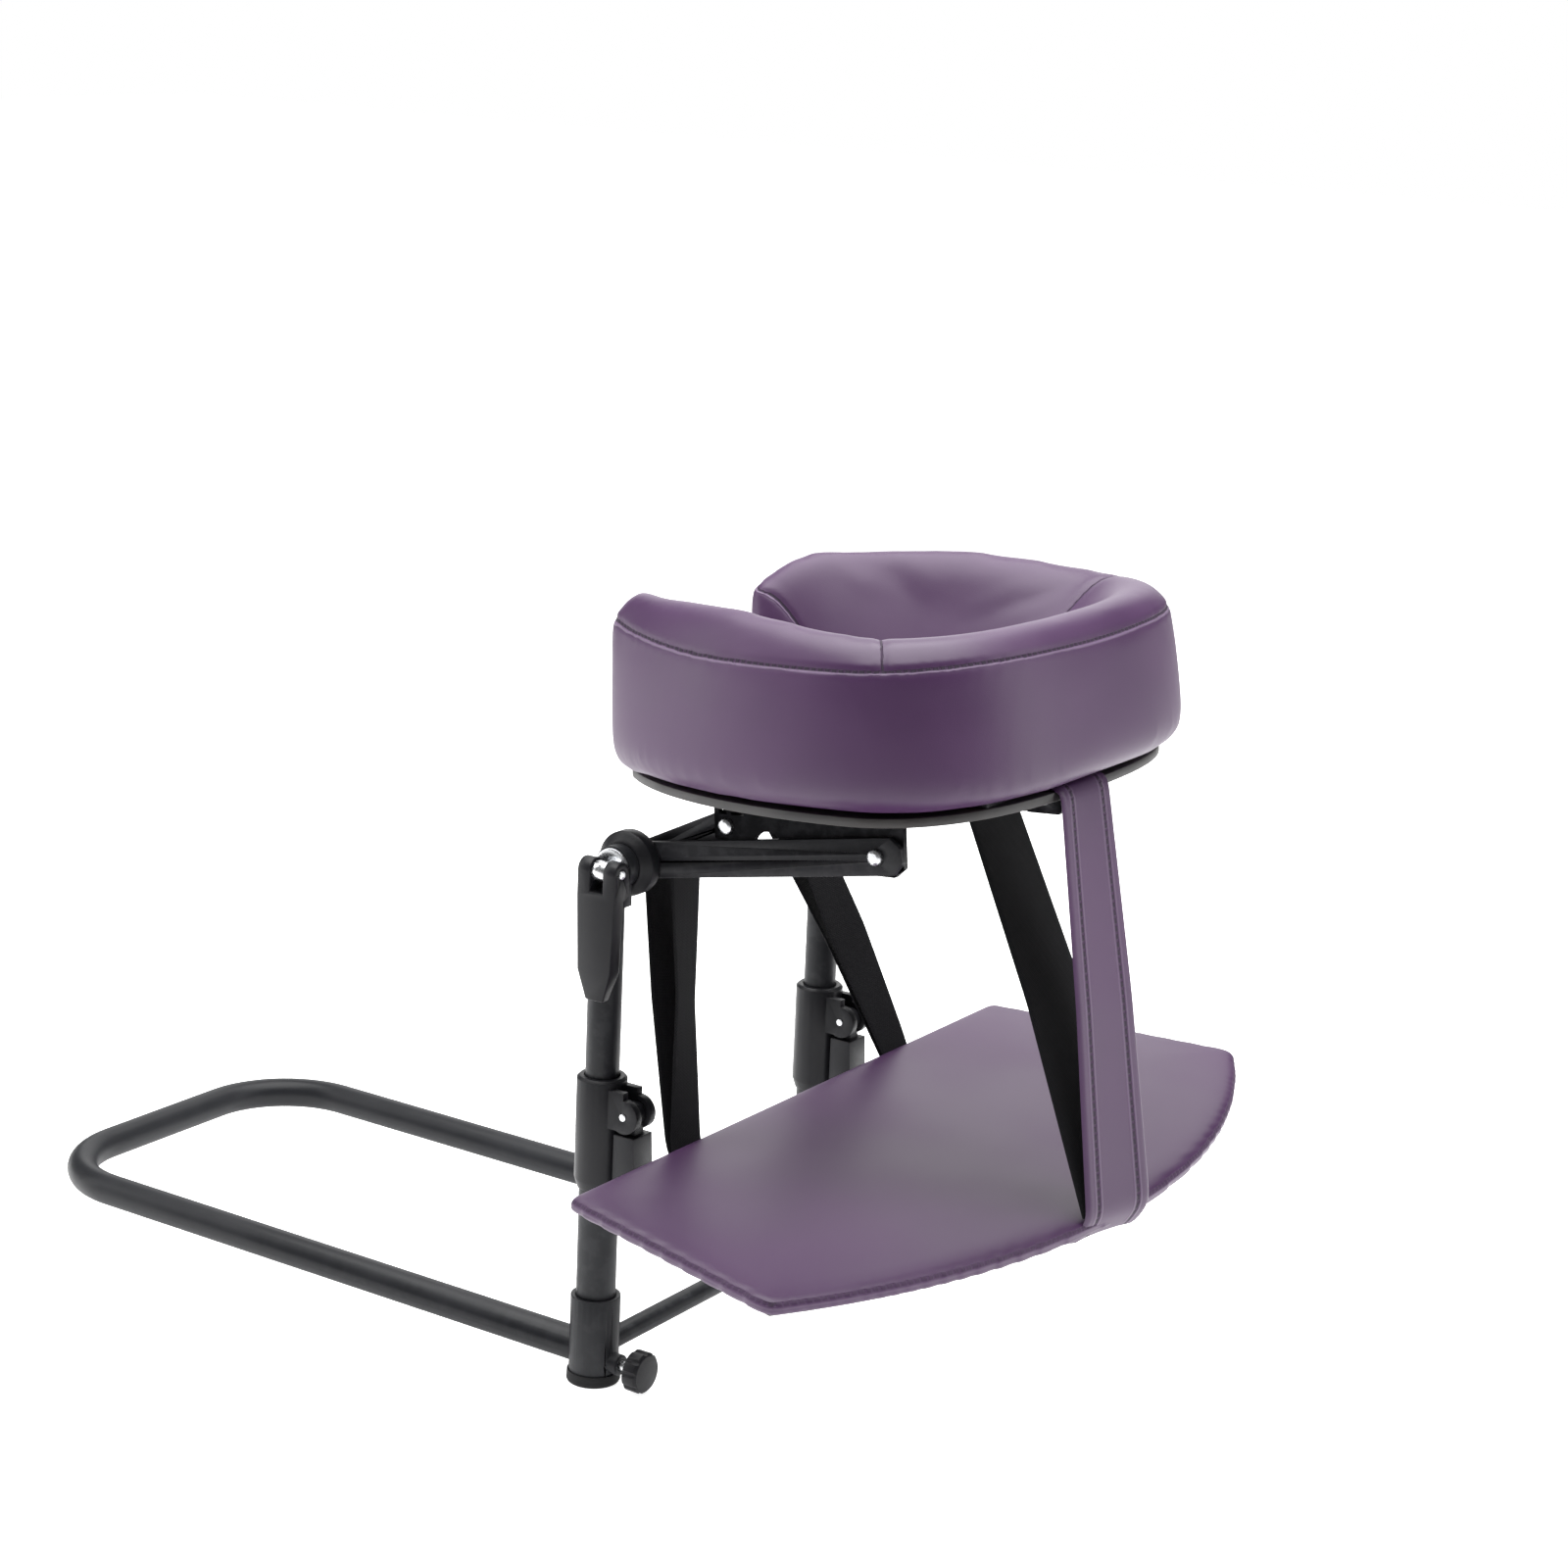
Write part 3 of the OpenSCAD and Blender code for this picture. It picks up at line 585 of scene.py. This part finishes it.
def make_front_strap():
    """The loop that holds the pad up: black inside strand, purple outside strand, split at mid height.

    Each piece has the two rows of strap_path() that it runs between, and the bodies that it would bend
    with, which nothing here uses."""
    rows = strap_path()
    top_z, mid_z, foot_z = (rows[i][2] / 1000.0 for i in (5, 6, 7))
    top = ("cradle", "lift_arms", (0, 0, top_z - 0.012), (0, 0, mid_z + 0.004))
    foot = ("lift_arms", "arm_pad", (0, 0, mid_z - 0.004), (0, 0, foot_z + 0.012))
    pieces = {
        "front_strap_lining_lower": ((0, 1), foot, STRAP_W - 1, LINING_T, "webbing"),
        "front_strap_lining_upper": ((1, 4), top, STRAP_W - 1, LINING_T, "webbing"),
        "front_strap_upper": ((3, 6), top, STRAP_W, STRAP_T, "purple_leather"),
        "front_strap_lower": ((6, 9), foot, STRAP_W, STRAP_T, "purple_leather"),
    }
    made = {}
    for name, (cut, bend, width, thick, slot) in pieces.items():
        ob = band(name, rows, width, thick, crown=0.3, cut=cut)
        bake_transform(ob)
        made[name] = ob
    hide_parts("front_strap")
    return made


def make_webbing(side):
    """Loop of webbing over the rod, down to the pad's inner edge and round under it."""
    sign = -1.0 if side == "near" else 1.0
    y_top = sign * WEB_TOP_Y
    y_foot = sign * (POST_Y - 2.0)
    bend_r = 9.0
    bend_z = ROD_Z + ROD_R + WEB_T / 2 - bend_r
    edge = pad_xz(-1.6, -PAD_T / 2)
    rows = []
    for deg in range(0, 181, 20):
        u = math.radians(deg)
        rows.append((ROD_X + bend_r * math.cos(u), y_top, bend_z + bend_r * math.sin(u), 0.0))
    foot_front = (edge[0] - 0.2, y_foot + 1.0, edge[1] + 2.0, 0.0)
    down_front = lerp(rows[0], foot_front, 0.5)
    down_front[3] = sign * 16.0
    foot_back = (edge[0] - 2.4, y_foot, edge[1] + 2.0, 0.0)
    down_back = lerp(rows[-1], foot_back, 0.5)
    down_back[3] = -sign * 10.0
    front = [pad_xz(24.0, -PAD_T - 1.2), pad_xz(3.0, -PAD_T - 1.0)]
    back = [pad_xz(2.0, -PAD_T - 3.0), pad_xz(34.0, -PAD_T - 3.2)]
    front = [(x, y_foot, z, 0) for x, z in front] + [foot_front, down_front]
    back = [down_back, foot_back] + [(x, y_foot, z, 0) for x, z in back]
    ob = band("webbing_band_" + side, front + rows + back, WEB_W, WEB_T, step=2.5, sigma=3.0)
    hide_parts("webbing_" + side)
    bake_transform(ob)
    return ob


# ---- finishes ----
class Nodes:
    """A small helper that writes shader nodes as plain calls."""

    def __init__(self, name):
        self.mat = bpy.data.materials.new(name)
        self.mat.use_nodes = True
        self.nt = self.mat.node_tree
        self.bsdf = self.nt.nodes["Principled BSDF"]

    def put(self, socket, value):
        if isinstance(value, bpy.types.NodeSocket):
            self.nt.links.new(value, socket)
        elif isinstance(value, (tuple, list)) and len(value) == 3 and socket.type == "RGBA":
            socket.default_value = (*value, 1)
        else:
            socket.default_value = value

    def math(self, op, a, b=0.0, c=0.0):
        n = self.nt.nodes.new("ShaderNodeMath")
        n.operation = op
        for s, v in zip(n.inputs, (a, b, c)):
            self.put(s, v)
        return n.outputs[0]

    def attribute(self, name):
        n = self.nt.nodes.new("ShaderNodeAttribute")
        n.attribute_name = name
        return n.outputs["Fac"]

    def where(self):
        n = self.nt.nodes.new("ShaderNodeTexCoord")
        return n.outputs["Object"]

    def noise(self, scale, detail=3.0, rough=0.55):
        n = self.nt.nodes.new("ShaderNodeTexNoise")
        self.put(n.inputs["Vector"], self.where())
        n.inputs["Scale"].default_value = scale
        n.inputs["Detail"].default_value = detail
        n.inputs["Roughness"].default_value = rough
        return n.outputs["Fac"]

    def cells(self, scale, feature="DISTANCE_TO_EDGE"):
        n = self.nt.nodes.new("ShaderNodeTexVoronoi")
        n.feature = feature
        self.put(n.inputs["Vector"], self.where())
        n.inputs["Scale"].default_value = scale
        return n.outputs["Distance"]

    def remap(self, value, a, b, c, d):
        """Takes the span from a to b to the span from c to d, with smooth ends."""
        n = self.nt.nodes.new("ShaderNodeMapRange")
        n.interpolation_type = "SMOOTHSTEP"
        for s, v in zip(n.inputs, (value, a, b, c, d)):
            self.put(s, v)
        return n.outputs["Result"]

    def mix(self, fac, a, b):
        n = self.nt.nodes.new("ShaderNodeMix")
        n.data_type = "RGBA"
        self.put(n.inputs["Factor"], fac)
        self.put(n.inputs["A"], a)
        self.put(n.inputs["B"], b)
        return n.outputs["Result"]

    def bump(self, height, strength, distance, normal=None):
        n = self.nt.nodes.new("ShaderNodeBump")
        self.put(n.inputs["Height"], height)
        n.inputs["Strength"].default_value = strength
        n.inputs["Distance"].default_value = distance
        if normal is not None:
            self.put(n.inputs["Normal"], normal)
        return n.outputs["Normal"]

    def edges(self, low, high):
        """1 on sharp outer edges, 0 on flat faces."""
        n = self.nt.nodes.new("ShaderNodeNewGeometry")
        return self.remap(n.outputs["Pointiness"], low, high, 0.0, 1.0)

    def set(self, **kw):
        """Sets the shader's inputs by name and returns the material."""
        for key, value in kw.items():
            self.put(self.bsdf.inputs[key.replace("_", " ")], value)
        return self.mat


def leather(name, seams):
    """Fine-grain synthetic leather; seams is 'cushion', 'pad' or 'strap'."""
    k = Nodes(name)
    patch = k.noise(9.0, 2.0)
    grain = k.cells(1100.0)
    fine = k.noise(2600.0, 2.0)
    colour = k.mix(k.remap(patch, 0.35, 0.7, 0.0, 1.0), PURPLE, PURPLE_LIGHT)
    height = k.math("MULTIPLY_ADD", grain, 0.6, k.math("MULTIPLY", fine, 0.5))
    normal = k.bump(height, 0.16, 0.0004)
    rough = k.remap(patch, 0.3, 0.7, 0.40, 0.48)
    line, dash, lip = seam_masks(k, seams)
    dark = k.math("MULTIPLY", line, k.math("MULTIPLY_ADD", dash, 0.6, 0.38))
    colour = k.mix(dark, colour, THREAD)
    # Painted highlight: the lip beside each seam is made lighter in colour, as if it caught the light.
    light = k.math("MULTIPLY", lip, 0.34)
    colour = k.mix(light, colour, LIP_PAINTED_HIGHLIGHT)
    groove = k.math("MULTIPLY_ADD", line, -1.0, k.math("MULTIPLY", k.math("MULTIPLY", line, dash), 0.7))
    normal = k.bump(k.math("ADD", groove, k.math("MULTIPLY", lip, 0.5)), 0.9, 0.0007, normal)
    rough = k.math("ADD", rough, k.math("MULTIPLY", line, 0.3))
    return k.set(Base_Color=colour, Roughness=rough, Normal=normal, Specular_IOR_Level=0.42)


def seam_masks(k, seams):
    """Where the sunk seam line, its stitches and the lit lip beside it lie."""
    dash = k.math("FRACT", k.math("DIVIDE", k.attribute("along"), STITCH))
    dash = k.math("MULTIPLY", k.remap(dash, 0.02, 0.14, 0.0, 1.0), k.remap(dash, 0.66, 0.8, 1.0, 0.0))
    if seams == "strap":
        half = k.math("ABSOLUTE", k.attribute("across"))
        off = k.math("ABSOLUTE", k.math("SUBTRACT", half, STRAP_SEAM))
        line = k.remap(off, 0.7, 1.6, 1.0, 0.0)
        lip = k.remap(k.math("ABSOLUTE", k.math("SUBTRACT", off, 2.4)), 0.0, 1.0, 0.35, 0.0)
        return line, dash, lip
    ring = k.attribute("ring")
    ring_line = k.remap(k.math("ABSOLUTE", ring), 0.75, 1.5, 1.0, 0.0)
    on_top = k.remap(ring, 0.0, 1.0, 0.0, 1.0)
    spoke = k.math("ABSOLUTE", k.attribute("spoke"))
    spoke_line = k.math("MULTIPLY", k.remap(spoke, 0.3, 0.8, 1.0, 0.0), on_top)
    below = k.math("ABSOLUTE", k.math("ADD", ring, 2.3))
    lip = k.remap(below, 0.2, 1.3, 1.0, 0.0)
    if seams == "pad":
        return k.math("MULTIPLY", ring_line, 0.4), dash, k.math("MULTIPLY", lip, 0.3)
    return k.math("MAXIMUM", ring_line, spoke_line), dash, lip


def paint(name, colour, rough):
    """Powder coat: fine orange peel, a little wear on the edges."""
    k = Nodes(name)
    peel = k.noise(900.0, 2.0)
    cloud = k.noise(14.0, 3.0)
    wear = k.math("MULTIPLY", k.edges(0.515, 0.60), k.remap(k.noise(120.0), 0.45, 0.65, 0.15, 0.8))
    light = tuple(min(1.0, c * 2.2 + 0.015) for c in colour)
    base = k.mix(k.remap(cloud, 0.3, 0.7, 0.0, 0.22), colour, light)
    base = k.mix(wear, base, light)
    return k.set(Base_Color=base, Roughness=k.remap(cloud, 0.3, 0.7, rough - 0.05, rough + 0.06),
                 Normal=k.bump(peel, 0.16, 0.0003), Specular_IOR_Level=0.2)


def plastic(name, colour, rough):
    """Moulded plastic with a fine spark texture."""
    k = Nodes(name)
    spark = k.noise(1700.0, 2.0)
    cloud = k.noise(22.0, 2.0)
    wear = k.math("MULTIPLY", k.edges(0.52, 0.62), 0.35)
    light = tuple(c * 2.0 + 0.01 for c in colour)
    return k.set(Base_Color=k.mix(wear, colour, light),
                 Roughness=k.remap(cloud, 0.3, 0.7, rough - 0.05, rough + 0.05),
                 Normal=k.bump(spark, 0.22, 0.0003), Specular_IOR_Level=0.2)


def zinc():
    """Bright zinc plate: faint spangle under fine brushing."""
    k = Nodes("zinc_finish")
    spangle = k.cells(260.0, "F1")
    brush = k.noise(700.0, 3.0)
    tone = k.mix(k.remap(spangle, 0.0, 0.8, 0.0, 1.0), (0.78, 0.79, 0.80), (0.60, 0.61, 0.63))
    return k.set(Base_Color=tone, Metallic=1.0, Roughness=k.remap(brush, 0.3, 0.7, 0.2, 0.36),
                 Normal=k.bump(brush, 0.1, 0.0002))


def weave(name, colour, pitch):
    """Woven tape: ribs along it and picks across it."""
    k = Nodes(name)
    tau = 2 * math.pi
    along = k.math("SINE", k.math("MULTIPLY", k.attribute("along"), tau / pitch))
    shift = k.math("MULTIPLY", along, 0.5)
    across = k.math("SINE", k.math("MULTIPLY_ADD", k.attribute("across"), tau / (pitch * 0.8), shift))
    cloth = k.math("MULTIPLY_ADD", k.math("MULTIPLY", along, across), 0.5, 0.5)
    fuzz = k.noise(1500.0, 3.0)
    light = tuple(c * 2.4 + 0.006 for c in colour)
    return k.set(Base_Color=k.mix(k.math("MULTIPLY", cloth, 0.6), colour, light),
                 Roughness=0.8, Specular_IOR_Level=0.15,
                 Normal=k.bump(k.math("MULTIPLY_ADD", fuzz, 0.3, cloth), 0.6, 0.0005))


def hook_tape():
    """The fuzzy face of hook-and-loop tape."""
    k = Nodes("hook_tape_finish")
    pile = k.noise(1300.0, 4.0, 0.7)
    return k.set(Base_Color=k.mix(pile, (0.01, 0.01, 0.011), (0.05, 0.05, 0.055)), Roughness=0.9,
                 Normal=k.bump(pile, 0.9, 0.001))


def film_board():
    """Plywood with a black film face, worn through a little at its edges."""
    k = Nodes("film_board_finish")
    cloud = k.noise(18.0, 4.0)
    pore = k.noise(520.0, 2.0)
    wear = k.math("MULTIPLY", k.edges(0.52, 0.6), 0.5)
    base = k.mix(k.remap(cloud, 0.3, 0.7, 0.0, 0.5), (0.012, 0.012, 0.014), (0.03, 0.028, 0.028))
    return k.set(Base_Color=k.mix(wear, base, (0.07, 0.05, 0.035)), Roughness=0.5,
                 Normal=k.bump(pore, 0.2, 0.0003))


def floor_finish():
    """The photo's plain white ground."""
    k = Nodes("floor_finish")
    soft = k.noise(6.0, 2.0)
    return k.set(Base_Color=k.mix(soft, (0.86, 0.86, 0.86), (0.89, 0.89, 0.89)), Roughness=0.8,
                 Emission_Color=(1, 1, 1), Emission_Strength=FLOOR_GLOW)


# ---- finishing the CAD pieces ----
def soften(ob, width):
    """Rounds the sharp edges of a CAD piece; width is in metres."""
    weld = ob.modifiers.new("weld", "WELD")
    weld.merge_threshold = 1e-6
    bev = ob.modifiers.new("edge", "BEVEL")
    bev.width = width
    bev.segments = 2
    bev.limit_method = "ANGLE"
    bev.angle_limit = math.radians(SHARP_CAD)
    bev.harden_normals = True
    ob.data.shade_smooth()


def dress(names, mat, width):
    """Gives CAD pieces their finish and their rounded edges."""
    for name in names:
        ob = frame["nodes"][name]
        ob.data.materials.clear()
        ob.data.materials.append(mat)
        soften(ob, width)


def dress_cad():
    """Finishes for the record's material slots, with the width of edge rounding for each."""
    slots = {s["node"]: s["material_slot"] for s in frame["record"]["subparts"]}
    finishes = {
        "frame_paint": (paint("frame_paint_finish", (0.011, 0.0115, 0.0135), 0.42), 0.0005),
        "link_paint": (paint("link_paint_finish", (0.010, 0.010, 0.012), 0.44), 0.0005),
        "black_plastic": (plastic("black_plastic_finish", (0.010, 0.010, 0.012), 0.40), 0.0008),
        "foot_rubber": (plastic("foot_rubber_finish", (0.012, 0.012, 0.013), 0.7), 0.0005),
        "zinc": (zinc(), 0.0003),
        "board": (film_board(), 0.0005),
    }
    for slot, (mat, width) in finishes.items():
        dress([n for n, s in slots.items() if s == slot], mat, width)
    dress(["hook_patches"], hook_tape(), 0.0004)


# ---- studio ----
def add_light(name, size, power, place, target):
    """A rectangular lamp, sized in metres and powered in watts, that the camera doesn't see."""
    data = bpy.data.lights.new(name, "AREA")
    data.shape = "RECTANGLE"
    data.size = size[0]
    data.size_y = size[1]
    data.energy = power
    ob = bpy.data.objects.new(name, data)
    ob.location = place
    ob.rotation_euler = (Vector(target) - Vector(place)).to_track_quat("-Z", "Y").to_euler()
    ob.visible_camera = False
    bpy.context.scene.collection.objects.link(ob)


def studio():
    """White ground and background, one large lamp above and softer ones behind and beside."""
    world = bpy.data.worlds.new("studio")
    world.use_nodes = True
    nodes, links = world.node_tree.nodes, world.node_tree.links
    back = nodes["Background"]
    back.inputs["Color"].default_value = (1, 1, 1, 1)
    seen = nodes.new("ShaderNodeLightPath")
    strength = nodes.new("ShaderNodeMapRange")
    strength.inputs["To Min"].default_value = AMBIENT
    strength.inputs["To Max"].default_value = 1.0
    links.new(seen.outputs["Is Camera Ray"], strength.inputs["Value"])
    links.new(strength.outputs["Result"], back.inputs["Strength"])
    bpy.context.scene.world = world
    bpy.context.scene.view_settings.view_transform = "Standard"
    half = 9.0
    corners = [(-half, -half, 0), (half, -half, 0), (half, half, 0), (-half, half, 0)]
    floor = add_object("floor", corners, [(0, 1, 2, 3)], smooth=False)
    floor.data.materials.append(floor_finish())
    aim = (0.05, 0.0, 0.25)
    add_light("key_top", (1.8, 1.8), 64.0, (-0.1, 0.1, 1.7), aim)
    add_light("rim_back", (2.2, 1.2), 15.0, (-1.2, 1.8, 1.0), aim)
    add_light("side_left", (0.5, 1.6), 9.0, (-1.3, -0.7, 0.8), aim)
    add_light("side_right", (0.5, 1.6), 9.0, (1.3, 0.7, 0.8), aim)


def camera():
    """The photo's camera: found from the picture's own lines, a long lens with a slight roll."""
    azimuth, elevation, roll = math.radians(33.49), math.radians(14.38), math.radians(2.50)
    target = Vector((0.03942, 0.0, 0.33058))
    distance = 1.86187
    back = Vector((math.sin(azimuth) * math.cos(elevation), -math.cos(azimuth) * math.cos(elevation),
                   math.sin(elevation)))
    right = Vector((math.cos(azimuth), math.sin(azimuth), 0.0))
    up = back.cross(right)
    right_r = right * math.cos(roll) + up * math.sin(roll)
    up_r = up * math.cos(roll) - right * math.sin(roll)
    data = bpy.data.cameras.new("photo_camera")
    data.sensor_width = 36.0
    data.lens = 76.95
    ob = bpy.data.objects.new("photo_camera", data)
    place = target + back * distance
    ob.matrix_world = Matrix((right_r, up_r, back)).transposed().to_4x4()
    ob.location = place
    bpy.context.scene.collection.objects.link(ob)
    bpy.context.scene.camera = ob


def main():
    cushion = make_cushion()
    pad = make_pad()
    straps = make_front_strap()
    tapes = [make_webbing("near"), make_webbing("far")]
    cushion.data.materials.append(leather("cushion_leather_finish", "cushion"))
    pad.data.materials.append(leather("pad_leather_finish", "pad"))
    strap_skin = leather("strap_leather_finish", "strap")
    lining = weave("strap_lining_finish", TAPE_BLACK, 1.4)
    for name, ob in straps.items():
        ob.data.materials.append(lining if "lining" in name else strap_skin)
    tape = weave("webbing_finish", TAPE_BLACK, 1.8)
    for ob in tapes:
        ob.data.materials.append(tape)
    dress_cad()
    studio()
    camera()


main()
